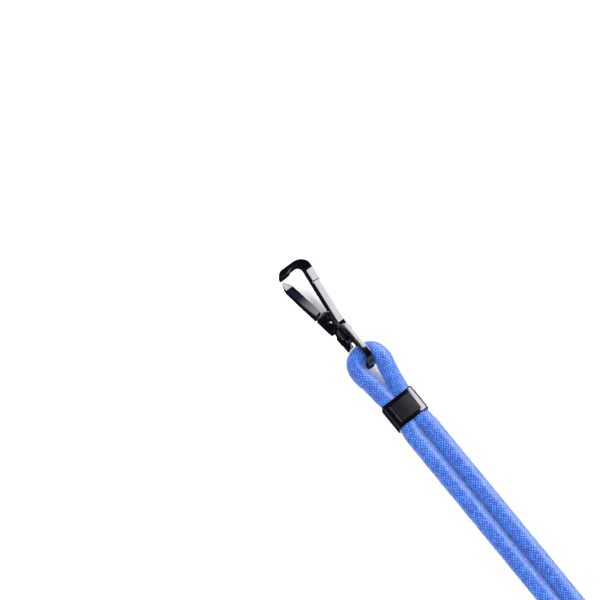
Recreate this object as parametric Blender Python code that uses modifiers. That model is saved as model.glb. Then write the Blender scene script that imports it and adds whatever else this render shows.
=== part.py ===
# A phone lanyard that lies on a flat surface: a swivel snap hook, its upright ring, a metal crimp
# sleeve and one braided cord that bends round the ring, passes the sleeve twice and makes the neck loop.
#
# Metres, +Z up. The lanyard lies along X with the hook at the low end. The origin is on the surface,
# under the middle of the whole lanyard.

import bmesh
import bpy
import math
from mathutils import Vector

MM = 0.001

# Gaps between pieces
RUNNING_GAP = 0.3 * MM
HINGE_GAP = 0.25 * MM

# Cord
CORD_DIAMETER = 4.8 * MM
CRIMPED_DIAMETER = 3.8 * MM
CRIMPED_SPACING = 3.95 * MM

# Crimp sleeve
SLEEVE_LENGTH = 7.7 * MM
SLEEVE_WALL = 0.6 * MM
SLEEVE_EDGE = 0.45 * MM
PASSAGE_CORNER = 1.4 * MM
MOUTH_CHAMFER = 0.35 * MM
PANEL_LENGTH = 5.2 * MM
PANEL_WIDTH = 6.4 * MM
PANEL_DEPTH = 0.22 * MM

# Ring, which stands on edge. Its width is measured across the lanyard.
RING_CLEARANCE = 0.55 * MM
RING_WIRE = 1.4 * MM
RING_WIDTH = 1.9 * MM
RING_STRAIGHT = 8.65 * MM
RING_EDGE = 0.28 * MM
RING_ROOT = 0.6 * MM
BAR_THICKNESS = 3.1 * MM
BAR_WIDTH = 2.4 * MM
BAR_CORNER = 0.54 * MM
BOSS_DIAMETER = 4.2 * MM

# Shank of the hook, which turns in the ring's bar
SHANK_DIAMETER = 1.7 * MM
HEAD_DIAMETER = 3.1 * MM
HEAD_HEIGHT = 1.1 * MM
HEAD_DOME = 0.88 * MM
SHANK_ROOT = 0.4 * MM

# Hook body. Its plane is XY, x = 0 is the middle of the ring's bar and the nose points to -X.
HOOK_REACH = 24.0 * MM
HOOK_DEPTH = 3.5 * MM
HOOK_EDGE = 0.3 * MM
BODY_DEPTH = 3.0 * MM
BODY_CORNER = 0.45 * MM
SPINE_WIDTH = 2.3 * MM
SPINE_AT_BODY = 2.15 * MM
SPINE_AT_NOSE = 5.45 * MM
BACK_AT_BODY = -2.7 * MM
BACK_AT_NOSE = -5.4 * MM
NOSE_WIDTH = 1.5 * MM
NOSE_CORNER_Y = 5.75 * MM
NOSE_OUTER_RADIUS = 3.2 * MM
NOSE_INNER_RADIUS = 1.5 * MM
NOSE_LOW = -3.4 * MM
NOSE_LOW_RADIUS = 2.2 * MM
LIP_LOW = -4.05 * MM
LIP_HIGH = -0.95 * MM
LIP_THROAT = -0.3 * MM
LIP_ALLOWANCE = 0.1 * MM
LIP_INSET = 1.95 * MM
NOSE_FLAT = 4.4 * MM
NOSE_SLOPE = math.radians(8.0)
SPINE_END_LENGTH = 1.2 * MM
SPINE_END_DEPTH = 0.3 * MM
GROOVE_FROM_NOSE = 8.1 * MM
GROOVE_WIDTH = 0.45 * MM
GROOVE_DEPTH = 0.35 * MM

# Gate
RIVET_X = -4.3 * MM
RIVET_Y = -1.5 * MM
RIVET_DIAMETER = 1.2 * MM
RIVET_PROUD = 0.16 * MM
CHEEK_RADIUS = 3.55 * MM
GATE_DEPTH = 3.1 * MM
GATE_WIDTH = 2.1 * MM
GATE_TOE_Y = -3.9 * MM
GATE_TIP_SLANT = 2.4 * MM
GATE_BACK_RADIUS = 3.5 * MM
TONGUE_DEPTH = 1.2 * MM
NECK_INSET = 1.5 * MM
EYE_RADIUS = 1.45 * MM
CROWN_STEPS = 8
GATE_CROWN = 0.42 * MM
TIP_BEVEL_LENGTH = 3.0 * MM
TIP_BEVEL_DEPTH = 0.62 * MM

# How the clip lies: the ring and the hook lean a little to one side, and the nose rests on the surface
RING_LEAN = math.radians(12.0)
HOOK_LEAN = math.radians(6.0)
CLIP_X = -25.0 * MM
REST_GAP = 0.04 * MM

# Half of the cord's route in mm, from the middle of the bend round the ring, through the sleeve, to the
# far end of the neck loop: x, y and z of the cord's centre line, and its girth against the full one.
# The other half is its mirror image.
CORD_ROUTE = (
    (-18.10, 0.00, 5.42, 0.93),
    (-17.80, 1.70, 5.40, 0.93),
    (-16.45, 3.22, 5.28, 0.93),
    (-13.50, 3.66, 5.04, 0.94),
    (-10.20, 2.96, 4.24, 1.00),
    (-7.00, 2.52, 3.30, 0.99),
    (-5.20, 2.28, 2.96, 0.93),
    (-3.85, 2.02, 2.84, 0.80),
    (0.00, 1.975, 2.80, 0.79),
    (3.85, 2.02, 2.76, 0.80),
    (5.20, 2.30, 2.66, 0.93),
    (7.00, 2.50, 2.52, 0.99),
    (11.0, 2.50, 2.42, 1.00),
    (30.0, 2.50, 2.42, 1.00),
    (52.0, 2.50, 2.42, 1.00),
    (76.0, 2.50, 2.42, 1.00),
    (96.0, 3.00, 2.42, 1.00),
    (118.0, 6.60, 2.42, 1.00),
    (146.0, 16.5, 2.42, 1.00),
    (178.0, 31.0, 2.42, 1.00),
    (214.0, 47.5, 2.42, 1.00),
    (250.0, 60.0, 2.42, 1.00),
    (284.0, 66.0, 2.42, 1.00),
    (316.0, 62.0, 2.42, 1.00),
    (342.0, 46.0, 2.42, 1.00),
    (356.5, 23.0, 2.42, 1.00),
    (360.5, 0.00, 2.42, 1.00),
)

# Spacing in mm of the points that the tube is drawn with, up to each x in mm
CORD_STEPS = (
    (-8.0, 1.8),
    (-2.5, 1.3),
    (2.5, 5.0),
    (7.0, 1.3),
    (1000.0, 14.4),
)

# Sizes that follow from the ones above
crimp_height = CRIMPED_DIAMETER + 2 * RUNNING_GAP
crimp_width = CRIMPED_SPACING + crimp_height
sleeve_height = crimp_height + 2 * SLEEVE_WALL
sleeve_width = crimp_width + 2 * SLEEVE_WALL
window_height = CORD_DIAMETER + 2 * RING_CLEARANCE
ring_height = window_height + 2 * RING_WIRE
bar_half = BAR_THICKNESS / 2
arc_x = RING_STRAIGHT - bar_half
body_x = -bar_half - RUNNING_GAP
bore_diameter = SHANK_DIAMETER + 2 * RUNNING_GAP
rivet_hole = RIVET_DIAMETER + 2 * HINGE_GAP
lip_radius = HOOK_REACH + RIVET_X - LIP_INSET
gate_reach = lip_radius - RUNNING_GAP - LIP_ALLOWANCE
ring_drop = (math.cos(RING_LEAN) * (ring_height / 2 - BAR_CORNER)
             + math.sin(RING_LEAN) * (BAR_WIDTH / 2 - BAR_CORNER))
hook_drop = math.cos(HOOK_LEAN) * HOOK_DEPTH / 2 + math.sin(HOOK_LEAN) * SPINE_AT_NOSE
clip_pitch = math.asin((ring_drop + BAR_CORNER - hook_drop) / (HOOK_REACH - NOSE_FLAT))
clip_height = (ring_drop * math.cos(clip_pitch) + (bar_half - BAR_CORNER) * math.sin(clip_pitch)
               + BAR_CORNER + REST_GAP)


def clear_scene():
    for thing in list(bpy.data.objects):
        bpy.data.objects.remove(thing, do_unlink=True)


def new_collection(name):
    collection = bpy.data.collections.new(name)
    bpy.context.scene.collection.children.link(collection)
    return collection


def new_material(name, colour, metallic, roughness):
    material = bpy.data.materials.new(name)
    material.use_nodes = True
    shader = material.node_tree.nodes["Principled BSDF"]
    shader.inputs["Base Color"].default_value = (*colour, 1.0)
    shader.inputs["Metallic"].default_value = metallic
    shader.inputs["Roughness"].default_value = roughness
    return material


def new_empty(name, parent=None):
    empty = bpy.data.objects.new(name, None)
    empty.empty_display_size = 0.005
    PART.objects.link(empty)
    empty.parent = parent
    return empty


def add_object(name, data, parent):
    thing = bpy.data.objects.new(name, data)
    PART.objects.link(thing)
    thing.parent = parent
    return thing


def make_cutter(thing):
    PART.objects.unlink(thing)
    CUTTERS.objects.link(thing)
    thing.hide_render = True
    thing.display_type = "WIRE"
    return thing


def boolean(target, other, operation):
    """Adds an exact Boolean to the target, and keeps the other solid as a guide."""
    modifier = target.modifiers.new(other.name, "BOOLEAN")
    modifier.operation = operation
    modifier.solver = "EXACT"
    modifier.object = make_cutter(other)


def bevel(thing, width, segments=2):
    modifier = thing.modifiers.new("rounded edges", "BEVEL")
    modifier.width = width
    modifier.segments = segments
    modifier.limit_method = "ANGLE"
    modifier.angle_limit = math.radians(50)


def shade(thing, angle=35):
    thing.data.shade_smooth()
    thing.data.set_sharp_from_angle(angle=math.radians(angle))


def rounded(rows, steps=6):
    """Turns rows of x, y and fillet radius into the points of a closed outline."""
    points = []
    for index, (x, y, radius) in enumerate(rows):
        corner = Vector((x, y))
        before = Vector(rows[index - 1][:2]) - corner
        after = Vector(rows[(index + 1) % len(rows)][:2]) - corner
        half_angle = before.angle(after) / 2
        if radius == 0:
            points.append(corner)
            continue
        reach = radius / math.tan(half_angle)
        centre = corner + (before.normalized() + after.normalized()).normalized() * radius / math.sin(half_angle)
        start = corner + before.normalized() * reach - centre
        end = corner + after.normalized() * reach - centre
        turn = start.angle_signed(end)
        for step in range(steps + 1):
            angle = -turn * step / steps
            points.append(centre + Vector((
                start.x * math.cos(angle) - start.y * math.sin(angle),
                start.x * math.sin(angle) + start.y * math.cos(angle))))
    return points


def arc_points(centre, radius, first, last, steps):
    """Points of an arc round a centre, between two angles in radians."""
    angles = (first + (last - first) * step / steps for step in range(steps + 1))
    return [Vector((centre[0] + radius * math.cos(a), centre[1] + radius * math.sin(a))) for a in angles]


def prism(name, outlines, thickness, parent):
    """Extrudes flat closed outlines, of which an inner one is a hole, as far up as down."""
    curve = bpy.data.curves.new(name, "CURVE")
    curve.dimensions = "2D"
    curve.fill_mode = "BOTH"
    curve.extrude = thickness / 2
    for outline in outlines:
        spline = curve.splines.new("POLY")
        spline.points.add(len(outline) - 1)
        for point, place in zip(spline.points, outline):
            point.co = (place[0], place[1], 0, 1)
        spline.use_cyclic_u = True
    drawn = add_object(name + "_outline", curve, None)
    bpy.context.view_layer.update()
    evaluated = drawn.evaluated_get(bpy.context.evaluated_depsgraph_get())
    mesh = bpy.data.meshes.new_from_object(evaluated)
    bpy.data.objects.remove(drawn, do_unlink=True)
    work = bmesh.new()
    work.from_mesh(mesh)
    bmesh.ops.remove_doubles(work, verts=work.verts, dist=1e-6)
    bmesh.ops.dissolve_limit(work, angle_limit=math.radians(0.5), verts=work.verts, edges=work.edges)
    bmesh.ops.recalc_face_normals(work, faces=work.faces)
    work.to_mesh(mesh)
    work.free()
    mesh.name = name
    return add_object(name, mesh, parent)


def block(name, low, high, parent):
    """A box between two opposite corners."""
    work = bmesh.new()
    bmesh.ops.create_cube(work, size=1)
    size = Vector(high) - Vector(low)
    bmesh.ops.scale(work, vec=size, verts=work.verts)
    bmesh.ops.translate(work, vec=Vector(low) + size / 2, verts=work.verts)
    mesh = bpy.data.meshes.new(name)
    work.to_mesh(mesh)
    work.free()
    return add_object(name, mesh, parent)


def cylinder(name, diameter, length, parent, sides=32):
    """A cylinder along its own Z, centred on its origin."""
    work = bmesh.new()
    bmesh.ops.create_cone(work, cap_ends=True, segments=sides, radius1=diameter / 2,
                          radius2=diameter / 2, depth=length)
    mesh = bpy.data.meshes.new(name)
    work.to_mesh(mesh)
    work.free()
    return add_object(name, mesh, parent)


def turned(name, profile, parent, sides=32):
    """A solid turned round its own Z from rows of radius and height, top to bottom."""
    mesh = bpy.data.meshes.new(name)
    mesh.from_pydata([(radius, 0, height) for radius, height in profile],
                     [(i, i + 1) for i in range(len(profile) - 1)], [])
    thing = add_object(name, mesh, parent)
    screw = thing.modifiers.new("turn", "SCREW")
    screw.steps = sides
    screw.render_steps = sides
    screw.use_merge_vertices = True
    screw.merge_threshold = 1e-6
    return thing


def spine_outer(x):
    share = (body_x - x) / (body_x + HOOK_REACH)
    return SPINE_AT_BODY + (SPINE_AT_NOSE - SPINE_AT_BODY) * share


def back_outer(x):
    share = (body_x - x) / (body_x + HOOK_REACH)
    return BACK_AT_BODY + (BACK_AT_NOSE - BACK_AT_BODY) * share


def spine_inner(x):
    rise = (SPINE_AT_NOSE - SPINE_AT_BODY) / (body_x + HOOK_REACH)
    return spine_outer(x) - SPINE_WIDTH * math.hypot(1, rise)


def gate_inner(x):
    rise = (BACK_AT_NOSE - BACK_AT_BODY) / (body_x + HOOK_REACH)
    return back_outer(x) + GATE_WIDTH * math.hypot(1, rise)


def on_circle(line, radius):
    """The angle round the rivet at which a line, given as y of x, cuts a circle on the -X side."""
    low, high = RIVET_X - radius, RIVET_X
    for _ in range(50):
        middle = (low + high) / 2
        if math.hypot(middle - RIVET_X, line(middle) - RIVET_Y) > radius:
            low = middle
        else:
            high = middle
    angle = math.atan2(line(middle) - RIVET_Y, middle - RIVET_X)
    return angle % (2 * math.pi)


def lip_x(y):
    """The x of the nose's end, which clears the gate's swing."""
    return RIVET_X - math.sqrt(lip_radius ** 2 - (y - RIVET_Y) ** 2)


def mouth_cutter(name, corners, side):
    """A tapered plug that chamfers one end of the sleeve's passage."""
    rings = []
    for depth, spread in ((2 * MOUTH_CHAMFER, -MOUTH_CHAMFER), (-MOUTH_CHAMFER, 2 * MOUTH_CHAMFER)):
        grown = [(y + math.copysign(spread, y), z + math.copysign(spread, z), PASSAGE_CORNER + spread)
                 for y, z in corners]
        x = side * (SLEEVE_LENGTH / 2 - depth)
        rings.append([Vector((x, point.x, sleeve_height / 2 + point.y)) for point in rounded(grown)])
    count = len(rings[0])
    faces = [tuple(range(count)), tuple(range(2 * count - 1, count - 1, -1))]
    faces += [(i, count + i, count + (i + 1) % count, (i + 1) % count) for i in range(count)]
    mesh = bpy.data.meshes.new(name)
    mesh.from_pydata(rings[0] + rings[1], [], faces)
    work = bmesh.new()
    work.from_mesh(mesh)
    bmesh.ops.recalc_face_normals(work, faces=work.faces)
    work.to_mesh(mesh)
    work.free()
    return add_object(name, mesh, LANYARD)


def build_sleeve():
    sleeve = block("sleeve", (-SLEEVE_LENGTH / 2, -sleeve_width / 2, 0),
                   (SLEEVE_LENGTH / 2, sleeve_width / 2, sleeve_height), LANYARD)
    bevel(sleeve, SLEEVE_EDGE, 3)
    past = SLEEVE_LENGTH
    half_width, half_height = crimp_width / 2, crimp_height / 2
    corners = ((half_width, half_height), (-half_width, half_height),
               (-half_width, -half_height), (half_width, -half_height))
    outline = rounded([(y, z, PASSAGE_CORNER) for y, z in corners])
    passage = prism("sleeve_passage", [outline], 2 * past, LANYARD)
    passage.location.z = sleeve_height / 2
    passage.rotation_euler = (math.radians(90), 0, math.radians(90))
    boolean(sleeve, passage, "DIFFERENCE")
    for name, side in (("sleeve_mouth_low", -1), ("sleeve_mouth_high", 1)):
        mouth = mouth_cutter(name, corners, side)
        boolean(sleeve, mouth, "DIFFERENCE")
    panel = block("sleeve_panel", (-PANEL_LENGTH / 2, -PANEL_WIDTH / 2, sleeve_height - PANEL_DEPTH),
                  (PANEL_LENGTH / 2, PANEL_WIDTH / 2, sleeve_height + PANEL_DEPTH), LANYARD)
    boolean(sleeve, panel, "DIFFERENCE")
    shade(sleeve)
    sleeve.data.materials.append(GUNMETAL)


def build_ring():
    half, inner = ring_height / 2, window_height / 2
    quarter = math.pi / 2
    outer_arc = arc_points((arc_x, 0), half, -quarter, quarter, 14)
    inner_arc = arc_points((arc_x, 0), inner, -quarter, quarter, 14)
    outer = [Vector((-RING_ROOT, half)), Vector((-RING_ROOT, -half))] + outer_arc
    window = [Vector((RING_ROOT, inner)), Vector((RING_ROOT, -inner))] + inner_arc
    ring = prism("ring", [outer, window], RING_WIDTH, RING_FRAME)
    ring.rotation_euler.x = math.radians(90)
    bevel(ring, RING_EDGE)
    bar = block("ring_bar", (-bar_half, -BAR_WIDTH / 2, -half), (bar_half, BAR_WIDTH / 2, half), RING_FRAME)
    bevel(bar, BAR_CORNER, 3)
    boolean(ring, bar, "UNION")
    boss = cylinder("ring_boss", BOSS_DIAMETER, BAR_THICKNESS, RING_FRAME)
    boss.rotation_euler.y = math.radians(90)
    bevel(boss, RING_EDGE)
    boolean(ring, boss, "UNION")
    bore = cylinder("ring_bore", bore_diameter, 2 * BAR_THICKNESS, RING_FRAME)
    bore.rotation_euler.y = math.radians(90)
    boolean(ring, bore, "DIFFERENCE")
    shade(ring)
    ring.data.materials.append(GUNMETAL)


def build_hook():
    nose_x = -HOOK_REACH
    groove_x = nose_x + GROOVE_FROM_NOSE
    throat_x = nose_x + NOSE_WIDTH
    crotch = on_circle(spine_inner, CHEEK_RADIUS)
    heel = on_circle(back_outer, CHEEK_RADIUS)
    spine_end = RIVET_X + CHEEK_RADIUS * math.cos(crotch)
    hook_rows = (
        (body_x, SPINE_AT_BODY, BODY_CORNER),
        (groove_x, spine_outer(groove_x), 0),
        (nose_x, NOSE_CORNER_Y, NOSE_OUTER_RADIUS),
        (nose_x, NOSE_LOW, NOSE_LOW_RADIUS),
        (lip_x(LIP_LOW), LIP_LOW, HOOK_EDGE),
        (lip_x(LIP_HIGH), LIP_HIGH, HOOK_EDGE),
        (throat_x, LIP_THROAT, NOSE_WIDTH / 3),
        (throat_x, spine_inner(throat_x), NOSE_INNER_RADIUS),
        (body_x, spine_inner(body_x), 0),
    )
    hook = prism("hook", [rounded(hook_rows, 8)], HOOK_DEPTH, HOOK_FRAME)
    boolean(hook, spine_envelope(), "INTERSECT")
    bevel(hook, HOOK_EDGE)

    cheek_arc = arc_points((RIVET_X, RIVET_Y), CHEEK_RADIUS, crotch, heel, 8)
    middle_y = spine_outer(spine_end) - SPINE_WIDTH / 2
    body_outline = [Vector((spine_end, middle_y))] + cheek_arc
    heel_x = RIVET_X + CHEEK_RADIUS * math.cos(heel)
    tail = rounded(((heel_x, back_outer(heel_x), 0), (body_x, BACK_AT_BODY, BODY_CORNER),
                    (body_x, SPINE_AT_BODY / 2, 0)))
    body_outline += tail[1:]
    body = prism("hook_body", [body_outline], BODY_DEPTH, HOOK_FRAME)
    bevel(body, HOOK_EDGE)
    boolean(hook, body, "UNION")

    head_top = bar_half + RUNNING_GAP + HEAD_HEIGHT
    shank_profile = [(0, head_top)]
    shank_profile += [(HEAD_DIAMETER / 2 * math.sin(a), head_top - HEAD_DOME * (1 - math.cos(a)))
                      for a in (math.radians(d) for d in (22, 45, 67, 90))]
    shank_profile += [(HEAD_DIAMETER / 2, head_top - HEAD_HEIGHT), (SHANK_DIAMETER / 2, head_top - HEAD_HEIGHT),
                      (SHANK_DIAMETER / 2, body_x - SHANK_ROOT), (0, body_x - SHANK_ROOT)]
    shank = turned("hook_shank", shank_profile, HOOK_FRAME)
    shank.rotation_euler.y = math.radians(90)
    boolean(hook, shank, "UNION")

    slot_height = TONGUE_DEPTH + 2 * RUNNING_GAP
    slot_bottom = 2 * BACK_AT_NOSE
    slot_left = RIVET_X - 2 * CHEEK_RADIUS
    slot = prism("gate_slot", [[Vector((slot_left, spine_inner(slot_left))), Vector((slot_left, slot_bottom)),
                                Vector((RIVET_X, slot_bottom)), Vector((RIVET_X, spine_inner(RIVET_X)))]],
                 slot_height, HOOK_FRAME)
    boolean(hook, slot, "DIFFERENCE")
    eye_slot = cylinder("gate_eye_slot", 2 * (EYE_RADIUS + RUNNING_GAP), slot_height, HOOK_FRAME)
    eye_slot.location = (RIVET_X, RIVET_Y, 0)
    boolean(hook, eye_slot, "DIFFERENCE")
    rivet_bore = cylinder("rivet_bore", rivet_hole, 2 * HOOK_DEPTH, HOOK_FRAME, 24)
    rivet_bore.location = (RIVET_X, RIVET_Y, 0)
    boolean(hook, rivet_bore, "DIFFERENCE")

    lean = math.atan2(spine_outer(groove_x) - spine_outer(0), groove_x)
    for name, side in (("groove_top", 1), ("groove_bottom", -1)):
        groove = block(name, (-GROOVE_WIDTH / 2, -SPINE_WIDTH, -GROOVE_DEPTH),
                       (GROOVE_WIDTH / 2, SPINE_WIDTH, GROOVE_DEPTH), HOOK_FRAME)
        groove.location = (groove_x, spine_outer(groove_x) - SPINE_WIDTH / 2, side * HOOK_DEPTH / 2)
        groove.rotation_euler.z = lean
        boolean(hook, groove, "DIFFERENCE")
    shade(hook)
    hook.data.materials.append(GUNMETAL)


def side_view(name, rows, frame):
    """A solid whose side view is symmetric, from rows of x and half depth."""
    outline = [Vector((x, z)) for x, z in rows] + [Vector((x, -z)) for x, z in reversed(rows)]
    envelope = prism(name, [outline], 2 * HOOK_REACH, frame)
    envelope.rotation_euler.x = math.radians(90)
    return envelope


def spine_envelope():
    """The spine's side view: full depth along its middle, sloped towards the nose and towards the body."""
    half = HOOK_DEPTH / 2
    nose_slope, end_slope = math.tan(NOSE_SLOPE), SPINE_END_DEPTH / SPINE_END_LENGTH
    nose_start, end_start = NOSE_FLAT - HOOK_REACH, body_x - SPINE_END_LENGTH
    low_x, high_x = -HOOK_REACH - NOSE_WIDTH, body_x + SPINE_END_LENGTH
    top_x = (nose_slope * nose_start + end_slope * end_start) / (nose_slope + end_slope)
    rows = ((low_x, half - nose_slope * (nose_start - low_x)),
            (top_x, half + nose_slope * (top_x - nose_start)),
            (high_x, half - end_slope * (high_x - end_start)))
    return side_view("spine_envelope", rows, HOOK_FRAME)


def gate_envelope(toe_x, crown_end):
    """The gate's side view: full depth at the rivet, bowed towards the tip, and a flat slope at the tip."""
    half = GATE_DEPTH / 2
    crown_start = RIVET_X - CHEEK_RADIUS
    span = crown_start - crown_end
    rows = [(RIVET_X + EYE_RADIUS + CHEEK_RADIUS, half), (crown_start, half)]
    rows += [(crown_start - span * share, half - GATE_CROWN * share ** 2)
             for share in (step / CROWN_STEPS for step in range(1, CROWN_STEPS + 1))]
    past_toe = TIP_BEVEL_LENGTH / 2
    tip_slope = TIP_BEVEL_DEPTH / TIP_BEVEL_LENGTH
    rows.append((toe_x - past_toe, half - GATE_CROWN - TIP_BEVEL_DEPTH - tip_slope * past_toe))
    return side_view("gate_envelope", rows, GATE_FRAME)


def build_gate():
    shoulder = CHEEK_RADIUS + RUNNING_GAP
    toe_x = RIVET_X - math.sqrt(gate_reach ** 2 - (GATE_TOE_Y - RIVET_Y) ** 2)
    tip_x = toe_x + GATE_TIP_SLANT
    first, last = on_circle(gate_inner, shoulder), on_circle(back_outer, shoulder)
    tip = rounded((
        (RIVET_X, gate_inner(RIVET_X), 0),
        (tip_x, gate_inner(tip_x), HOOK_EDGE),
        (toe_x, GATE_TOE_Y, HOOK_EDGE),
        (tip_x, back_outer(tip_x), GATE_BACK_RADIUS),
        (RIVET_X, back_outer(RIVET_X), 0),
    ))[1:-1]
    shoulder_arc = arc_points((RIVET_X, RIVET_Y), shoulder, last, first, 8)
    gate = prism("gate", [tip + shoulder_arc], GATE_DEPTH, GATE_FRAME)
    bevel(gate, HOOK_EDGE)

    neck_x = RIVET_X - shoulder - NECK_INSET
    neck = prism("gate_neck", [[Vector((neck_x, gate_inner(neck_x) - HOOK_EDGE)),
                                Vector((neck_x, back_outer(neck_x) + HOOK_EDGE)),
                                Vector((RIVET_X, back_outer(RIVET_X))),
                                Vector((RIVET_X, gate_inner(RIVET_X)))]], TONGUE_DEPTH, GATE_FRAME)
    boolean(gate, neck, "UNION")
    eye = cylinder("gate_eye", 2 * EYE_RADIUS, TONGUE_DEPTH, GATE_FRAME)
    eye.location = (RIVET_X, RIVET_Y, 0)
    boolean(gate, eye, "UNION")
    bore = cylinder("gate_bore", rivet_hole, 2 * HOOK_DEPTH, GATE_FRAME, 24)
    bore.location = (RIVET_X, RIVET_Y, 0)
    boolean(gate, bore, "DIFFERENCE")
    crown_end = toe_x + TIP_BEVEL_LENGTH
    boolean(gate, gate_envelope(toe_x, crown_end), "INTERSECT")
    for thing in [gate] + [modifier.object for modifier in gate.modifiers if modifier.type == "BOOLEAN"]:
        thing.location -= GATE_FRAME.location
    shade(gate)
    gate.data.materials.append(GUNMETAL)


def build_rivet():
    half = BODY_DEPTH / 2
    radius = RIVET_DIAMETER / 2
    dome = [(radius * math.sin(a), half + RIVET_PROUD * math.cos(a))
            for a in (math.radians(d) for d in (0, 25, 50, 75))]
    profile = dome + [(radius, half), (radius, -half)] + [(r, -h) for r, h in reversed(dome)]
    rivet = turned("rivet", profile, HOOK_FRAME, 24)
    rivet.location = (RIVET_X, RIVET_Y, 0)
    shade(rivet)
    rivet.data.materials.append(GUNMETAL)


def smooth_route(rows):
    """A dense closed curve through the rows, with its length so far, place and girth at each point."""
    half = [Vector((x * MM, y * MM, z * MM, girth)) for x, y, z, girth in rows]
    other = [Vector((p[0], -p[1], p[2], p[3])) for p in reversed(half[1:-1])]
    knots = half + other
    count = len(knots)
    dense = []
    for index in range(count):
        p0, p1, p2, p3 = (knots[(index + shift) % count] for shift in (-1, 0, 1, 2))
        t1 = (p1.xyz - p0.xyz).length ** 0.5
        t2 = t1 + (p2.xyz - p1.xyz).length ** 0.5
        t3 = t2 + (p3.xyz - p2.xyz).length ** 0.5
        for step in range(16):
            t = t1 + (t2 - t1) * step / 16
            a1 = p0.lerp(p1, t / t1)
            a2 = p1.lerp(p2, (t - t1) / (t2 - t1))
            a3 = p2.lerp(p3, (t - t2) / (t3 - t2))
            b1 = a1.lerp(a2, t / t2)
            b2 = a2.lerp(a3, (t - t1) / (t3 - t1))
            dense.append(b1.lerp(b2, (t - t1) / (t2 - t1)))
    return dense


def spaced(dense):
    """Picks points along the dense curve, closer together round the ring and in the sleeve."""
    picked = [dense[0]]
    walked = 0
    for before, point in zip(dense, dense[1:]):
        walked += (point.xyz - before.xyz).length
        step = next(step for limit, step in CORD_STEPS if point.x < limit * MM)
        if walked >= step * MM:
            picked.append(point)
            walked = 0
    return picked


def build_cord():
    points = spaced(smooth_route(CORD_ROUTE))
    curve = bpy.data.curves.new("cord", "CURVE")
    curve.dimensions = "3D"
    curve.bevel_depth = CORD_DIAMETER / 2
    curve.bevel_resolution = 4
    spline = curve.splines.new("POLY")
    spline.points.add(len(points) - 1)
    for point, place in zip(spline.points, points):
        point.co = (place[0], place[1], place[2], 1)
        point.radius = place[3]
    spline.use_cyclic_u = True
    cord = add_object("cord", curve, LANYARD)
    cord.data.materials.append(BRAID)


clear_scene()
PART = new_collection("phone_lanyard")
CUTTERS = new_collection("cutters")
GUNMETAL = new_material("gunmetal", (0.10, 0.10, 0.12), 1.0, 0.18)
BRAID = new_material("blue braid", (0.10, 0.24, 0.80), 0.0, 0.65)

lanyard_low = CLIP_X - HOOK_REACH
lanyard_high = CORD_ROUTE[-1][0] * MM + CORD_DIAMETER / 2
LANYARD = new_empty("lanyard")
LANYARD.location.x = -(lanyard_low + lanyard_high) / 2
CLIP = new_empty("clip", LANYARD)
CLIP.location = (CLIP_X, 0, clip_height)
CLIP.rotation_euler.y = -clip_pitch
RING_FRAME = new_empty("ring_frame", CLIP)
RING_FRAME.rotation_euler.x = -RING_LEAN
HOOK_FRAME = new_empty("hook_frame", CLIP)
HOOK_FRAME.rotation_euler.x = -HOOK_LEAN
GATE_FRAME = new_empty("gate_frame", HOOK_FRAME)
GATE_FRAME.location = (RIVET_X, RIVET_Y, 0)

build_sleeve()
build_ring()
build_hook()
build_gate()
build_rivet()
build_cord()
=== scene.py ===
# %% [markdown]
# # A phone lanyard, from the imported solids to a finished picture
#
# The solids of the snap hook, the ring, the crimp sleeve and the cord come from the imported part. This
# lesson gives them their finish: polished black nickel on the metal, and a real braid on the cord.
# Everything is in metres, and the lanyard lies on the floor at z = 0 with its hook towards -X. Lengths
# that are clearer in millimetres are written as such and multiplied by MM.

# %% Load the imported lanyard
import math

import bmesh
import bpy
from mathutils import Matrix, Vector


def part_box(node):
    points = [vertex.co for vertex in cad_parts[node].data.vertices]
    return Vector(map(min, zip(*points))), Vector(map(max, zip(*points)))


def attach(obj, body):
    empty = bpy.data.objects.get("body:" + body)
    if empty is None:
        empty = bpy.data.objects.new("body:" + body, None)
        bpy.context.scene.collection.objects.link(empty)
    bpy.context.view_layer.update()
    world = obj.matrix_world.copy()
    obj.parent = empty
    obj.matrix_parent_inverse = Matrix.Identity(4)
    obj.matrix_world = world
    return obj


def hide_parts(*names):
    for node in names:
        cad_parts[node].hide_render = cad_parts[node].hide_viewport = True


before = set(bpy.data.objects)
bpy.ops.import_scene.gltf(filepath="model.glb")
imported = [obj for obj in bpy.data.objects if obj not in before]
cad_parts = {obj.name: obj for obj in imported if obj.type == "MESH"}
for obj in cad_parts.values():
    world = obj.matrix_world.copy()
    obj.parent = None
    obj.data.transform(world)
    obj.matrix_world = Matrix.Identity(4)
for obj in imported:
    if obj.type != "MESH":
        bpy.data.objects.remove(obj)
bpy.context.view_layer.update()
MM = 0.001

# %% [markdown]
# ## Three small helpers
#
# Colours are written as they look on a screen, in hex, but Blender mixes light in linear values. The first
# function turns one into the other. The second adds a node, sets what is given by name and joins what
# comes from another node, so that each tree reads like a short recipe. Where a node has several sockets of
# one name, as a Math node has, they go by number. The third starts a material.

# %% Colour and node helpers


def linear(hex_colour):
    """Turns a screen colour such as #2846BE into the linear values that Blender uses."""
    channels = [int(hex_colour[i:i + 2], 16) / 255 for i in (1, 3, 5)]
    return tuple(c / 12.92 if c <= 0.04045 else ((c + 0.055) / 1.055) ** 2.4 for c in channels) + (1.0,)


def add_node(tree, kind, settings=None, values=None, links=None):
    """Adds a node, sets its properties and input values, and links its inputs to other sockets.

    An input goes by its name, or by its number where several have the same name.
    """
    node = tree.nodes.new(kind)
    for name, value in (settings or {}).items():
        setattr(node, name, value)
    for name, value in (values or {}).items():
        node.inputs[name].default_value = value
    for name, socket in (links or {}).items():
        tree.links.new(socket, node.inputs[name])
    return node


def new_material(name):
    """Makes a material with an empty Principled shader, and returns it with its tree and that shader."""
    material = bpy.data.materials.new(name)
    material.use_nodes = True
    tree = material.node_tree
    return material, tree, tree.nodes["Principled BSDF"]


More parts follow.
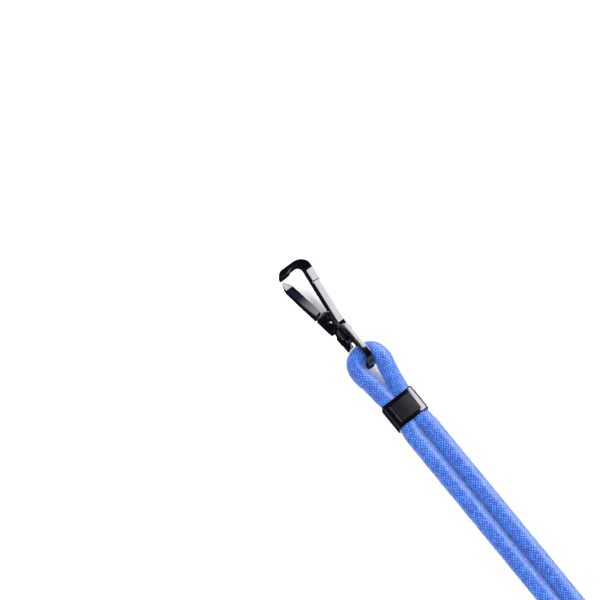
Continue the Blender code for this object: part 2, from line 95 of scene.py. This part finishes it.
# %% [markdown]
# ## The camera
#
# The picture looks steeply down at the lanyard, turned so that the cord runs from the middle of the
# frame to its lower right. A long lens a long way off keeps parallel edges parallel, as they are in the
# photograph. The camera is placed by one point of the object: the middle of the sleeve's top face.

# %% Camera
PICTURE_SIZE = 600
PIXELS_PER_MM = 3.88
SLEEVE_PIXEL = (405.2, 407.0)
AZIMUTH = math.radians(51.5)
ELEVATION = math.radians(76.0)
LENS = 300.0
FARTHEST_SEEN = 20.0

sleeve_low, sleeve_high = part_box("sleeve")
sleeve_top = Vector(((sleeve_low.x + sleeve_high.x) / 2, 0, sleeve_high.z))
back = Vector((math.sin(AZIMUTH) * math.cos(ELEVATION),
               -math.cos(AZIMUTH) * math.cos(ELEVATION), math.sin(ELEVATION)))
turn = (-back).to_track_quat("-Z", "Y").to_matrix()
right, up = turn.col[0], turn.col[1]

camera_data = bpy.data.cameras.new("camera")
camera_data.lens = LENS
camera_data.clip_end = FARTHEST_SEEN
picture_width = PICTURE_SIZE / PIXELS_PER_MM * MM
distance = picture_width * camera_data.lens / camera_data.sensor_width
offset_x = (PICTURE_SIZE / 2 - SLEEVE_PIXEL[0]) / PIXELS_PER_MM * MM
offset_y = (SLEEVE_PIXEL[1] - PICTURE_SIZE / 2) / PIXELS_PER_MM * MM
aim = sleeve_top + right * offset_x + up * offset_y
camera = bpy.data.objects.new("camera", camera_data)
camera.matrix_world = Matrix.Translation(aim + back * distance) @ turn.to_4x4()
bpy.context.scene.collection.objects.link(camera)
bpy.context.scene.camera = camera
print("camera distance", round(distance, 3), "m, picture width", round(picture_width / MM, 1), "mm")

# %% [markdown]
# ## The cord's route
#
# The cord is one endless braid. It bends round the ring, both strands pass the sleeve, run side by side
# and then open into the neck loop. Half of its route is written down here, the same points as the solid
# cord follows, and the other half is its mirror image. The fourth number is the girth: the braid is
# squeezed where the sleeve is crimped round it. The braid is a little thicker than the solid cord, so that
# the two strands press against each other as soft cords do.

# %% Route of the cord
CORD_DIAMETER = 5.0 * MM
CORD_ROUTE = (
    (-18.10, 0.00, 5.42, 0.93),
    (-17.80, 1.70, 5.40, 0.93),
    (-16.45, 3.22, 5.28, 0.93),
    (-13.50, 3.66, 5.04, 0.94),
    (-10.20, 2.96, 4.24, 1.00),
    (-7.00, 2.52, 3.30, 1.00),
    (-5.20, 2.28, 2.96, 0.97),
    (-3.85, 2.02, 2.84, 0.87),
    (0.00, 1.975, 2.80, 0.84),
    (3.85, 2.02, 2.76, 0.87),
    (5.20, 2.30, 2.66, 0.97),
    (7.00, 2.50, 2.52, 1.00),
    (11.0, 2.50, 2.42, 1.00),
    (30.0, 2.50, 2.42, 1.00),
    (52.0, 2.50, 2.42, 1.00),
    (76.0, 2.50, 2.42, 1.00),
    (96.0, 3.00, 2.42, 1.00),
    (118.0, 6.60, 2.42, 1.00),
    (146.0, 16.5, 2.42, 1.00),
    (178.0, 31.0, 2.42, 1.00),
    (214.0, 47.5, 2.42, 1.00),
    (250.0, 60.0, 2.42, 1.00),
    (284.0, 66.0, 2.42, 1.00),
    (316.0, 62.0, 2.42, 1.00),
    (342.0, 46.0, 2.42, 1.00),
    (356.5, 23.0, 2.42, 1.00),
    (360.5, 0.00, 2.42, 1.00),
)
ROUTE_STEPS = 16


def closed_route(rows):
    """A smooth closed curve through the rows and their mirror image, as places with a girth."""
    half = [Vector((sleeve_top.x + x * MM, y * MM, z * MM, girth)) for x, y, z, girth in rows]
    knots = half + [Vector((k.x, -k.y, k.z, k.w)) for k in reversed(half[1:-1])]
    count = len(knots)
    points = []
    for index in range(count):
        p0, p1, p2, p3 = (knots[(index + shift) % count] for shift in (-1, 0, 1, 2))
        t1 = (p1.xyz - p0.xyz).length ** 0.5
        t2 = t1 + (p2.xyz - p1.xyz).length ** 0.5
        t3 = t2 + (p3.xyz - p2.xyz).length ** 0.5
        for step in range(ROUTE_STEPS):
            t = t1 + (t2 - t1) * step / ROUTE_STEPS
            a1 = p0.lerp(p1, t / t1)
            a2 = p1.lerp(p2, (t - t1) / (t2 - t1))
            a3 = p2.lerp(p3, (t - t2) / (t3 - t2))
            b1 = a1.lerp(a2, t / t2)
            b2 = a2.lerp(a3, (t - t1) / (t3 - t1))
            points.append(b1.lerp(b2, (t - t1) / (t2 - t1)))
    return points


route = closed_route(CORD_ROUTE)
cord_length = sum((a.xyz - b.xyz).length for a, b in zip(route, route[1:] + route[:1]))
route_curve = bpy.data.curves.new("cord_route", "CURVE")
route_curve.dimensions = "3D"
route_curve.twist_mode = "Z_UP"
spline = route_curve.splines.new("POLY")
spline.points.add(len(route) - 1)
for point, place in zip(spline.points, route):
    point.co = (*place.xyz, 1)
    point.radius = place.w
spline.use_cyclic_u = True
cord_guide = bpy.data.objects.new("cord_guide", route_curve)
bpy.context.scene.collection.objects.link(cord_guide)
print("cord length", round(cord_length / MM), "mm in", len(route), "points")

# %% [markdown]
# ## The braid
#
# A braided polyester cord is a tube of small plaits, each one a flat yarn that comes up, passes over the
# next two and dives under again. From a hand's distance that reads as rows of raised diamonds. A Geometry
# Nodes tree makes them: it lays evenly spaced rows along the route, puts a ring of points on each row, and
# lifts every second point, so that the lifted ones stand on the diagonals of the braid. The others sink
# by a larger share of a plait's height, as the yarn packs down between the plaits. Each face between
# four points is then cut along its shorter diagonal, the one between its two low points, which makes every
# lifted point a small even mound. A random nudge of a few hundredths of a millimetre moves every point, as
# no braid is quite even. The lift, times a random share of the dye, is also kept as an attribute, from which
# the material paints shade: dark blue in the gaps between the plaits, and a paler blue on their tops.

# %% Tree that braids a tube round a curve
PLAIT_WIDTH = 0.45 * MM
PLAIT_LENGTH = 0.47 * MM
PLAIT_HEIGHT = 0.22 * MM
PLAIT_SUNK_SHARE = 0.7
PALEST_PLAIT = 1.0
DARKEST_PLAIT = 0.45
DYE_SEED = 4
PLAIT_NUDGE = 0.07 * MM
NUDGE_SEED = 9
plaits_round = 2 * round(math.pi * CORD_DIAMETER / PLAIT_WIDTH / 2)
braid_rows = 2 * round(cord_length / PLAIT_LENGTH / 2)


def braid_tree():
    """Builds the node tree. Its inputs are the cord's radius and counts, and a plait's height and nudge."""
    tree = bpy.data.node_groups.new("braid along a curve", "GeometryNodeTree")
    interface = tree.interface
    interface.new_socket("Geometry", in_out="INPUT", socket_type="NodeSocketGeometry")
    for name, kind in (("Rows", "Int"), ("Plaits round", "Int"), ("Radius", "Float"),
                       ("Plait height", "Float"), ("Nudge", "Float"), ("Material", "Material")):
        interface.new_socket(name, in_out="INPUT", socket_type="NodeSocket" + kind)
    interface.new_socket("Geometry", in_out="OUTPUT", socket_type="NodeSocketGeometry")
    inputs = add_node(tree, "NodeGroupInput").outputs
    index = add_node(tree, "GeometryNodeInputIndex").outputs["Index"]

    rows = add_node(tree, "GeometryNodeResampleCurve", links={"Curve": inputs["Geometry"],
                                                              "Count": inputs["Rows"]})
    row = add_node(tree, "GeometryNodeCaptureAttribute")
    row.capture_items.new("INT", "row")
    tree.links.new(rows.outputs["Curve"], row.inputs["Geometry"])
    tree.links.new(index, row.inputs["row"])
    circle = add_node(tree, "GeometryNodeCurvePrimitiveCircle", links={"Resolution": inputs["Plaits round"],
                                                                      "Radius": inputs["Radius"]})
    plait = add_node(tree, "GeometryNodeCaptureAttribute")
    plait.capture_items.new("INT", "plait")
    tree.links.new(circle.outputs["Curve"], plait.inputs["Geometry"])
    tree.links.new(index, plait.inputs["plait"])
    tube = add_node(tree, "GeometryNodeCurveToMesh", links={"Curve": row.outputs["Geometry"],
                                                            "Profile Curve": plait.outputs["Geometry"]})

    # Every second point, counted along the cord and round it, is a lifted one: its lift is 1, not 0.
    place = add_node(tree, "ShaderNodeMath", {"operation": "ADD"},
                     links={0: row.outputs["row"], 1: plait.outputs["plait"]})
    lift = add_node(tree, "ShaderNodeMath", {"operation": "MODULO"}, {1: 2}, {0: place.outputs[0]})
    centred = add_node(tree, "ShaderNodeMath", {"operation": "SUBTRACT"}, {1: PLAIT_SUNK_SHARE},
                       {0: lift.outputs[0]})
    height = add_node(tree, "ShaderNodeMath", {"operation": "MULTIPLY"},
                      links={0: centred.outputs[0], 1: inputs["Plait height"]})
    normal = add_node(tree, "GeometryNodeInputNormal").outputs["Normal"]
    offset = add_node(tree, "ShaderNodeVectorMath", {"operation": "SCALE"},
                      links={"Vector": normal, "Scale": height.outputs[0]})
    luck = add_node(tree, "FunctionNodeRandomValue", {"data_type": "FLOAT_VECTOR"},
                    {0: (-1.0,) * 3, 1: (1.0,) * 3, "Seed": NUDGE_SEED})
    nudge = add_node(tree, "ShaderNodeVectorMath", {"operation": "SCALE"},
                     links={"Vector": luck.outputs[0], "Scale": inputs["Nudge"]})
    nudged = add_node(tree, "ShaderNodeVectorMath", {"operation": "ADD"},
                      links={0: offset.outputs["Vector"], 1: nudge.outputs["Vector"]})
    lifted = add_node(tree, "GeometryNodeSetPosition", links={"Geometry": tube.outputs["Mesh"],
                                                             "Offset": nudged.outputs["Vector"]})

    # One way of cutting starts at a quad's first corner, the other at its second. The quads whose first
    # corner is lifted are cut the second way, and the rest the first way.
    first_corner = add_node(tree, "GeometryNodeCornersOfFace").outputs["Corner Index"]
    first_point = add_node(tree, "GeometryNodeVertexOfCorner", links={"Corner Index": first_corner})
    starts_high = add_node(tree, "GeometryNodeFieldAtIndex", {"data_type": "FLOAT", "domain": "POINT"},
                           links={"Value": lift.outputs[0], "Index": first_point.outputs["Vertex Index"]})
    half_cut = add_node(tree, "GeometryNodeTriangulate", {"quad_method": "FIXED_ALTERNATE"},
                        links={"Mesh": lifted.outputs["Geometry"], "Selection": starts_high.outputs["Value"]})
    braided = add_node(tree, "GeometryNodeTriangulate", {"quad_method": "FIXED"},
                       links={"Mesh": half_cut.outputs["Mesh"]})

    # Lifted points get a random share of the dye and low points none. The material turns the low ones into
    # painted shade between the plaits.
    dye = add_node(tree, "FunctionNodeRandomValue", {"data_type": "FLOAT"},
                   {2: DARKEST_PLAIT, 3: PALEST_PLAIT, "Seed": DYE_SEED})
    plait_shade_and_dye = add_node(tree, "ShaderNodeMath", {"operation": "MULTIPLY"},
                     links={0: lift.outputs[0], 1: dye.outputs[1]})
    stored = add_node(tree, "GeometryNodeStoreNamedAttribute", {"data_type": "FLOAT", "domain": "POINT"},
                      {"Name": "plait_shade_and_dye"}, {"Geometry": braided.outputs["Mesh"], "Value": plait_shade_and_dye.outputs[0]})
    smooth = add_node(tree, "GeometryNodeSetShadeSmooth", links={"Geometry": stored.outputs["Geometry"]})
    real = add_node(tree, "GeometryNodeRealizeInstances", links={"Geometry": smooth.outputs["Geometry"]})
    dressed = add_node(tree, "GeometryNodeSetMaterial", links={"Geometry": real.outputs["Geometry"],
                                                              "Material": inputs["Material"]})
    add_node(tree, "NodeGroupOutput", links={"Geometry": dressed.outputs["Geometry"]})
    return tree


# %% [markdown]
# ## Braided polyester
#
# The yarn is textured polyester, dyed cornflower blue. Its filaments are smooth, clear rods that bend
# light strongly, so the yarn has a broad, soft gloss, and stray filaments add a pale sheen on the side that
# faces the light. The gaps between the plaits get a painted shade of dark blue, and the plaits' tops a
# painted lighter blue. No two plaits took the dye quite alike, so each one has its own share of the paler
# blue, and a noise the size of a few plaits shifts the colour a little more. A much finer noise stands for
# the filaments. They are about 0.02 mm thick, too fine for the render to show, and are drawn at 0.12 mm.

# %% Material of the cord
BLOTCH_SIZE = 2.2 * MM
FILAMENT_SIZE = 0.12 * MM


def braided_polyester():
    """The cord's material: dark blue painted shade between the plaits, paler on their tops, with a soft gloss
    and sheen.
    """
    material, tree, shader = new_material("braided polyester")
    plait_shade_and_dye = add_node(tree, "ShaderNodeAttribute", {"attribute_name": "plait_shade_and_dye"}).outputs["Fac"]
    place = add_node(tree, "ShaderNodeTexCoord").outputs["Object"]
    # The ramp paints shade: its dark end colours the gaps between the plaits, and its pale end their tops.
    ramp = add_node(tree, "ShaderNodeValToRGB", links={"Fac": plait_shade_and_dye})
    ramp.color_ramp.elements[0].color = linear("#042484")
    ramp.color_ramp.elements[1].color = linear("#3482E0")
    ramp.color_ramp.elements[0].position = 0.12
    ramp.color_ramp.elements[1].position = 0.55
    blotches = add_node(tree, "ShaderNodeTexNoise", values={"Scale": 1 / BLOTCH_SIZE, "Detail": 2.0},
                        links={"Vector": place})
    shift = add_node(tree, "ShaderNodeMapRange", values={"To Min": 0.82, "To Max": 1.14},
                     links={"Value": blotches.outputs["Fac"]})
    dye_and_painted_shade = add_node(tree, "ShaderNodeHueSaturation", links={"Color": ramp.outputs["Color"],
                                                            "Value": shift.outputs["Result"]})
    tree.links.new(dye_and_painted_shade.outputs["Color"], shader.inputs["Base Color"])
    filaments = add_node(tree, "ShaderNodeTexNoise", values={"Scale": 1 / FILAMENT_SIZE, "Detail": 1.0},
                         links={"Vector": place})
    bump = add_node(tree, "ShaderNodeBump", values={"Strength": 0.35, "Distance": 0.03 * MM},
                    links={"Height": filaments.outputs["Fac"]})
    tree.links.new(bump.outputs["Normal"], shader.inputs["Normal"])
    shader.inputs["IOR"].default_value = 1.64
    shader.inputs["Specular IOR Level"].default_value = 1.0
    shader.inputs["Roughness"].default_value = 0.5
    shader.inputs["Sheen Weight"].default_value = 1.0
    shader.inputs["Sheen Roughness"].default_value = 0.4
    shader.inputs["Sheen Tint"].default_value = linear("#E8EEFF")
    return material


POLYESTER = braided_polyester()
print("material:", POLYESTER.name, "with", len(POLYESTER.node_tree.nodes), "nodes")

# %% Braid the cord


def mesh_from(guide, name):
    """Turns a guide object with its modifiers into a plain mesh object at the origin."""
    bpy.context.view_layer.update()
    evaluated = guide.evaluated_get(bpy.context.evaluated_depsgraph_get())
    mesh = bpy.data.meshes.new_from_object(evaluated)
    mesh.name = name
    piece = bpy.data.objects.new(name, mesh)
    bpy.context.scene.collection.objects.link(piece)
    bpy.data.objects.remove(guide, do_unlink=True)
    return piece


def set_inputs(modifier, values):
    """Sets a tree's inputs by their sockets' identifiers, found from their names."""
    for item in modifier.node_group.interface.items_tree:
        if item.in_out == "INPUT" and item.name in values:
            modifier[item.identifier] = values[item.name]


braider = cord_guide.modifiers.new("braid", "NODES")
braider.node_group = braid_tree()
set_inputs(braider, {"Rows": braid_rows, "Plaits round": plaits_round, "Radius": CORD_DIAMETER / 2,
                     "Plait height": PLAIT_HEIGHT, "Nudge": PLAIT_NUDGE, "Material": POLYESTER})
braid = mesh_from(cord_guide, "braided_cord")
# A closed mesh with a negative volume has its faces inside out.
measure = bmesh.new()
measure.from_mesh(braid.data)
if measure.calc_volume(signed=True) < 0:
    braid.data.flip_normals()
measure.free()
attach(braid, "lanyard")
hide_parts("cord")
print("braid:", braid_rows, "rows of", plaits_round, "points,", len(braid.data.polygons), "triangles")

# %% [markdown]
# ## Black nickel plating
#
# The hook, ring and sleeve are zinc castings, polished and then plated with black nickel. The plating is
# a smoky mirror: it shows the room more than its own colour, and looks black where the room is dark. Its
# shader is a metal with a grey colour and a low roughness. Handling leaves faint, long scuffs, so a
# stretched noise makes some places a little duller and darker than others. The sunk panel of the sleeve
# isn't polished, so an attribute marks it, and where that is set the metal turns rougher and darker, like
# satin.

# %% Material of the metal pieces
SCUFF_SIZE = 1.4 * MM
SCUFF_SQUEEZE = (0.25, 1.0, 1.0)
POLISHED_ROUGHNESS = 0.05
SCUFFED_ROUGHNESS = 0.08
SATIN_ROUGHNESS = 0.22
SATIN_DARKNESS = 0.65


def black_nickel():
    """The metal's material: a dark mirror with faint scuffs, and satin where the attribute says so."""
    material, tree, shader = new_material("polished black nickel")
    shader.inputs["Metallic"].default_value = 1.0
    place = add_node(tree, "ShaderNodeTexCoord").outputs["Object"]
    stretched = add_node(tree, "ShaderNodeMapping", values={"Scale": SCUFF_SQUEEZE},
                         links={"Vector": place})
    scuffs = add_node(tree, "ShaderNodeTexNoise", values={"Scale": 1 / SCUFF_SIZE, "Detail": 4.0},
                      links={"Vector": stretched.outputs["Vector"]})
    dull = add_node(tree, "ShaderNodeMapRange", values={"From Min": 0.35, "From Max": 0.75,
                                                        "To Min": POLISHED_ROUGHNESS,
                                                        "To Max": SCUFFED_ROUGHNESS},
                    links={"Value": scuffs.outputs["Fac"]})
    satin = add_node(tree, "ShaderNodeAttribute", {"attribute_name": "satin"}).outputs["Fac"]
    roughness = add_node(tree, "ShaderNodeMath", {"operation": "MULTIPLY_ADD"}, {1: SATIN_ROUGHNESS},
                         {0: satin, 2: dull.outputs["Result"]})
    tree.links.new(roughness.outputs[0], shader.inputs["Roughness"])
    tint = add_node(tree, "ShaderNodeValToRGB", links={"Fac": scuffs.outputs["Fac"]})
    tint.color_ramp.elements[0].color = linear("#908E93")
    tint.color_ramp.elements[1].color = linear("#A7A5A9")
    darker = add_node(tree, "ShaderNodeMapRange", values={"To Min": 1.0, "To Max": 1.0 - SATIN_DARKNESS},
                      links={"Value": satin})
    plated = add_node(tree, "ShaderNodeHueSaturation", links={"Color": tint.outputs["Color"],
                                                              "Value": darker.outputs["Result"]})
    tree.links.new(plated.outputs["Color"], shader.inputs["Base Color"])
    return material


BLACK_NICKEL = black_nickel()
print("material:", BLACK_NICKEL.name, "with", len(BLACK_NICKEL.node_tree.nodes), "nodes")

# %% [markdown]
# ## Polished metal pieces
#
# The solids have the right shapes but are made of loose, flat triangles, which would break up a mirror
# finish. Each metal piece is therefore a copy of its solid with the triangles joined, the flat faces made
# whole again and the curved ones shaded smooth, and with a hair-thin rounding on the edges that are still
# sharp, because those thin bright lines are what makes polished metal look solid. The large flat faces
# then get their own plain normals back, since a normal that leans by only two degrees already moves the
# mirror image out of a small face. The narrow curved faces beside them blend into them.

# %% Helpers for the metal pieces
SAME_POINT = 2e-6
FLAT_ANGLE = math.radians(1)
SHARP_ANGLE = math.radians(40)
FACET_AREA = 1.4 * MM ** 2
FACET_BEND = math.radians(5)
PANEL_AREA = 20 * MM ** 2
PANEL_DEPTH = 0.22 * MM
LEVEL = 0.99


def keep_facets_flat(mesh):
    """Gives every large flat face its own plain normal, and lets small faces beside it blend into it."""
    facets_at = {}
    for face in mesh.polygons:
        if face.area > FACET_AREA:
            for index in face.vertices:
                facets_at.setdefault(index, []).append(face)
    normals = [corner.vector.copy() for corner in mesh.corner_normals]
    for face in mesh.polygons:
        for loop, index in zip(face.loop_indices, face.vertices):
            near = [other for other in facets_at.get(index, [])
                    if other.normal.angle(face.normal) < SHARP_ANGLE]
            if near:
                chief = face if face.area > FACET_AREA else max(near, key=lambda other: other.area)
                level = [other for other in near if other.normal.angle(chief.normal) < FACET_BEND]
                normals[loop] = sum((other.normal * other.area for other in level), Vector()).normalized()
    mesh.normals_split_custom_set(normals)


def is_panel(face):
    """Tells the sunk panel in the sleeve's top, the one large level face just under that top."""
    sunk = sleeve_top.z - face.center.z
    return face.area > PANEL_AREA and face.normal.z > LEVEL and PANEL_DEPTH / 2 < sunk < PANEL_DEPTH * 3 / 2


def polished_copy(node, name, edge_rounding):
    """A copy of a node with its triangles joined, smooth curves and slightly rounded edges."""
    work = bmesh.new()
    work.from_mesh(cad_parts[node].data)
    bmesh.ops.remove_doubles(work, verts=work.verts, dist=SAME_POINT)
    bmesh.ops.dissolve_limit(work, angle_limit=FLAT_ANGLE, verts=work.verts, edges=work.edges)
    mesh = bpy.data.meshes.new(name)
    work.to_mesh(mesh)
    work.free()
    mesh.materials.append(BLACK_NICKEL)
    mesh.shade_smooth()
    mesh.set_sharp_from_angle(angle=SHARP_ANGLE)
    guide = bpy.data.objects.new(name + "_guide", mesh)
    bpy.context.scene.collection.objects.link(guide)
    rounding = guide.modifiers.new("rounding", "BEVEL")
    rounding.width = edge_rounding * MM
    rounding.segments = 2
    rounding.limit_method = "ANGLE"
    rounding.angle_limit = SHARP_ANGLE
    piece = mesh_from(guide, name)
    keep_facets_flat(piece.data)
    satin = piece.data.attributes.new("satin", "FLOAT", "FACE")
    satin.data.foreach_set("value", [float(is_panel(face)) for face in piece.data.polygons])
    return piece


# %% Polish every metal piece
# Each row is a node, its body, the name of its copy, and the rounding of its edges in mm.
METAL_NODES = (
    ("hook", "snap_hook", "polished_hook", 0.09),
    ("rivet", "snap_hook", "polished_rivet", 0.09),
    ("gate", "hook_gate", "polished_gate", 0.09),
    ("ring", "lanyard", "polished_ring", 0.09),
    ("sleeve", "lanyard", "polished_sleeve", 0.16),
)
for node, body, name, edge_rounding in METAL_NODES:
    piece = polished_copy(node, name, edge_rounding)
    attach(piece, body)
    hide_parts(node)
    print(name, len(piece.data.polygons), "faces")

# %% [markdown]
# ## Floor and light
#
# The lanyard lies on white paper in a photographer's light tent. The light comes mostly from one side, +Y:
# a wide, low window that also shows in the metal, and a stronger key light above it that doesn't. A soft
# fill from the other side keeps the cord's far side blue. The key and the fill are hidden from mirrors,
# because a polished edge would show the lamp itself as a glaring spot. The paper is hidden from them too,
# so that the sides of the metal pieces stay black.

# %% Floor
FLOOR_SIZE = 4.0
PAPER_TOOTH = 4 * MM


def white_paper():
    """The floor's material: white paper without gloss, whose tooth shades it by a few percent."""
    material, tree, shader = new_material("matt white paper")
    shader.inputs["Roughness"].default_value = 0.9
    shader.inputs["Specular IOR Level"].default_value = 0.1
    place = add_node(tree, "ShaderNodeTexCoord").outputs["Object"]
    tooth = add_node(tree, "ShaderNodeTexNoise", values={"Scale": 1 / PAPER_TOOTH}, links={"Vector": place})
    shade = add_node(tree, "ShaderNodeValToRGB", links={"Fac": tooth.outputs["Fac"]})
    shade.color_ramp.elements[0].color = linear("#F8F8F8")
    shade.color_ramp.elements[1].color = linear("#FDFDFD")
    tree.links.new(shade.outputs["Color"], shader.inputs["Base Color"])
    return material


floor_mesh = bpy.data.meshes.new("floor")
half_floor = FLOOR_SIZE / 2
floor_mesh.from_pydata([(-half_floor, -half_floor, 0), (half_floor, -half_floor, 0),
                        (half_floor, half_floor, 0), (-half_floor, half_floor, 0)], [], [(0, 1, 2, 3)])
floor_mesh.materials.append(white_paper())
floor = bpy.data.objects.new("floor", floor_mesh)
floor.visible_glossy = False
bpy.context.scene.collection.objects.link(floor)
print("floor:", FLOOR_SIZE, "m wide")

# %% Helper for every light


def hang_light(name, place, x_axis, z_axis, size, radiance):
    """A rectangular light that shines against its z axis, with its width laid along its x axis."""
    data = bpy.data.lights.new(name, "AREA")
    data.shape = "RECTANGLE"
    data.size, data.size_y = size
    data.energy = math.pi * radiance * data.size * data.size_y
    lamp = bpy.data.objects.new(name, data)
    axes = Matrix((x_axis, z_axis.cross(x_axis), z_axis)).transposed()
    lamp.matrix_world = Matrix.Translation(place) @ axes.to_4x4()
    lamp.visible_camera = False
    bpy.context.scene.collection.objects.link(lamp)
    return lamp


# %% Hang the studio lights
LIGHT_DISTANCE = 1.5
# Each row is a name, the direction from the lanyard, the size in m, the radiance, and whether mirrors see it.
STUDIO_LIGHTS = (
    ("window_light", (-0.19, 0.90, 0.39), (1.3, 1.1), 3.8, True),
    ("key_light", (-0.10, 0.64, 0.76), (0.9, 0.9), 7.5, False),
    ("fill_light", (0.17, -0.50, 0.85), (0.7, 0.7), 16.0, False),
)
for name, direction, size, radiance, in_mirrors in STUDIO_LIGHTS:
    towards = Vector(direction).normalized()
    side = Vector((0, 0, 1)).cross(towards).normalized()
    lamp = hang_light(name, sleeve_top + towards * LIGHT_DISTANCE, side, towards, size, radiance)
    lamp.visible_glossy = in_mirrors
    print(name, "at", round(math.degrees(math.asin(towards.z))), "degrees above the floor")

# %% [markdown]
# ## Cards for the polished faces
#
# A dark mirror is black unless it mirrors something bright. A photographer therefore holds a white card
# just where the camera sees its image in a flat face, and the face turns light while its neighbours, which
# look elsewhere, stay black. Here each card is a light of about the face's own size and of its tilt, a few
# centimetres along the mirrored line of sight. The gate's blade gets a card that fades from dark to light.

# %% Helpers for the cards
CARD_DISTANCE = 28 * MM


def top_faces(piece, least_area, least_up):
    """The large faces of a piece that look up, from its -X end on: corners, normal and length direction."""
    found = []
    mesh = piece.data
    for face in mesh.polygons:
        if face.area > least_area and face.normal.z > least_up:
            corners = [mesh.vertices[i].co.copy() for i in face.vertices]
            edges = [b - a for a, b in zip(corners, corners[1:] + corners[:1])]
            longest = max(edges, key=lambda edge: abs(edge.x)).normalized()
            found.append((corners, face.normal.copy(), longest if longest.x > 0 else -longest))
    return sorted(found, key=lambda row: row[0][0].x)


def hang_card(name, face, margins, radiance, distance=CARD_DISTANCE):
    """A white card, hung where the camera sees its mirror image in a polished face.

    It lies parallel to the face. The margins, towards -X, +X, -Y and +Y, make it larger than the face.
    """
    corners, normal, along = face
    across = normal.cross(along)
    reach = [corner.dot(along) for corner in corners]
    spread = [corner.dot(across) for corner in corners]
    x_low, x_high = min(reach) - margins[0] * MM, max(reach) + margins[1] * MM
    y_low, y_high = min(spread) - margins[2] * MM, max(spread) + margins[3] * MM
    point = (x_low + x_high) / 2 * along + (y_low + y_high) / 2 * across + corners[0].dot(normal) * normal
    view = (camera.location - point).normalized()
    mirrored = 2 * normal.dot(view) * normal - view
    return hang_light(name, point + mirrored * distance, along, normal,
                      (x_high - x_low, y_high - y_low), radiance)


def fade(lamp, stops):
    """Fades a light from colour to colour along its width, by places from 0 to 1 and their colours."""
    lamp.data.use_nodes = True
    tree = lamp.data.node_tree
    place = add_node(tree, "ShaderNodeNewGeometry").outputs["Parametric"]
    share = add_node(tree, "ShaderNodeSeparateXYZ", links={"Vector": place}).outputs["X"]
    ramp = add_node(tree, "ShaderNodeValToRGB", links={"Fac": share})
    for position, _ in stops[1:-1]:
        ramp.color_ramp.elements.new(position)
    for stop, (position, colour) in zip(ramp.color_ramp.elements, stops):
        stop.position, stop.color = position, linear(colour)
    tree.links.new(ramp.outputs["Color"], tree.nodes["Emission"].inputs["Color"])


def length_along_x(face):
    """How far a face reaches along the lanyard."""
    return max(corner.x for corner in face[0]) - min(corner.x for corner in face[0])


# %% Hang the cards
TIP_CARD_DISTANCE = 80 * MM
CARD_RADIANCE = 2.1
RING_CARD_RADIANCE = 2.2
GATE_CARD_RADIANCE = 1.0
GATE_CARD_STOPS = ((0.0, "#1E2244"), (0.35, "#3A3E5C"), (0.55, "#A8AAB8"), (1.0, "#F0F0F8"))

hook_tops = top_faces(bpy.data.objects["polished_hook"], least_area=6 * MM ** 2, least_up=0.98)
gate_tops = top_faces(bpy.data.objects["polished_gate"], least_area=1.5 * MM ** 2, least_up=0.9)
ring_tops = top_faces(bpy.data.objects["polished_ring"], least_area=10 * MM ** 2, least_up=0.9)
spine = max(hook_tops, key=length_along_x)
gate_tip, gate_blade = gate_tops[0], gate_tops[3]
ring_leg = ring_tops[0]

# The sleeve's light border tapers and is only a part of its top face, so three corners are given, in mm.
BORDER_CORNERS = ((-3.5, 3.6), (3.5, 2.7), (-3.5, 7.0))
border = [sleeve_top + Vector((x, y, 0)) * MM for x, y in BORDER_CORNERS]
sleeve_border = (border, Vector((0, 0, 1)), (border[1] - border[0]).normalized())
print("faces of the gate's top, from its tip:",
      [round(sum(corner.x for corner in row[0]) / len(row[0]) / MM, 1) for row in gate_tops])

hang_card("spine_card", spine, (5.5, 1.0, 0.05, 2.0), CARD_RADIANCE)
hang_card("gate_tip_card", gate_tip, (0.4, 0.2, 0.3, 0.3), CARD_RADIANCE, TIP_CARD_DISTANCE)
gate_card = hang_card("gate_card", gate_blade, (10.0, 3.0, 0.0, 0.5), GATE_CARD_RADIANCE)
fade(gate_card, GATE_CARD_STOPS)
hang_card("ring_card", ring_leg, (0.5, 6.0, -0.7, 1.0), RING_CARD_RADIANCE)
hang_card("sleeve_card", sleeve_border, (1.0, 1.0, 0.0, 0.0), CARD_RADIANCE)

# %% [markdown]
# ## The tent
#
# White cloth all round lights the cord and the paper evenly. The polished metal sees a dark room instead,
# with a pale band at the height of the horizon, which draws the thin light lines on its rounded edges. A
# light path node tells the two kinds of ray apart.

# %% Tent
TENT_BRIGHTNESS = 1.0
MIRRORED_BRIGHTNESS = 1.0


def light_tent():
    """Builds the world: even white for matt things, a dark room with a pale horizon for mirrors."""
    world = bpy.data.worlds.new("light tent")
    world.use_nodes = True
    tree = world.node_tree
    even = tree.nodes["Background"]
    even.inputs["Color"].default_value = linear("#FCFCFF")
    even.inputs["Strength"].default_value = TENT_BRIGHTNESS
    direction = add_node(tree, "ShaderNodeTexCoord").outputs["Generated"]
    height = add_node(tree, "ShaderNodeSeparateXYZ", links={"Vector": direction}).outputs["Z"]
    share = add_node(tree, "ShaderNodeMapRange", values={"From Min": -1.0, "From Max": 1.0},
                     links={"Value": height})
    band = add_node(tree, "ShaderNodeValToRGB", links={"Fac": share.outputs["Result"]})
    stops = band.color_ramp.elements
    stops[0].position, stops[0].color = 0.40, linear("#1E1E24")
    stops[1].position, stops[1].color = 0.80, linear("#181A26")
    middle = stops.new(0.55)
    middle.color = linear("#80828C")
    mirrored = add_node(tree, "ShaderNodeBackground", values={"Strength": MIRRORED_BRIGHTNESS},
                        links={"Color": band.outputs["Color"]})
    is_mirror = add_node(tree, "ShaderNodeLightPath").outputs["Is Glossy Ray"]
    mixed = add_node(tree, "ShaderNodeMixShader", links={"Fac": is_mirror, 1: even.outputs["Background"],
                                                         2: mirrored.outputs["Background"]})
    tree.links.new(mixed.outputs["Shader"], tree.nodes["World Output"].inputs["Surface"])
    return world


bpy.context.scene.world = light_tent()
bpy.context.scene.view_settings.view_transform = "Standard"
print("tent brightness:", TENT_BRIGHTNESS, "for cloth,", MIRRORED_BRIGHTNESS, "for the band in mirrors")
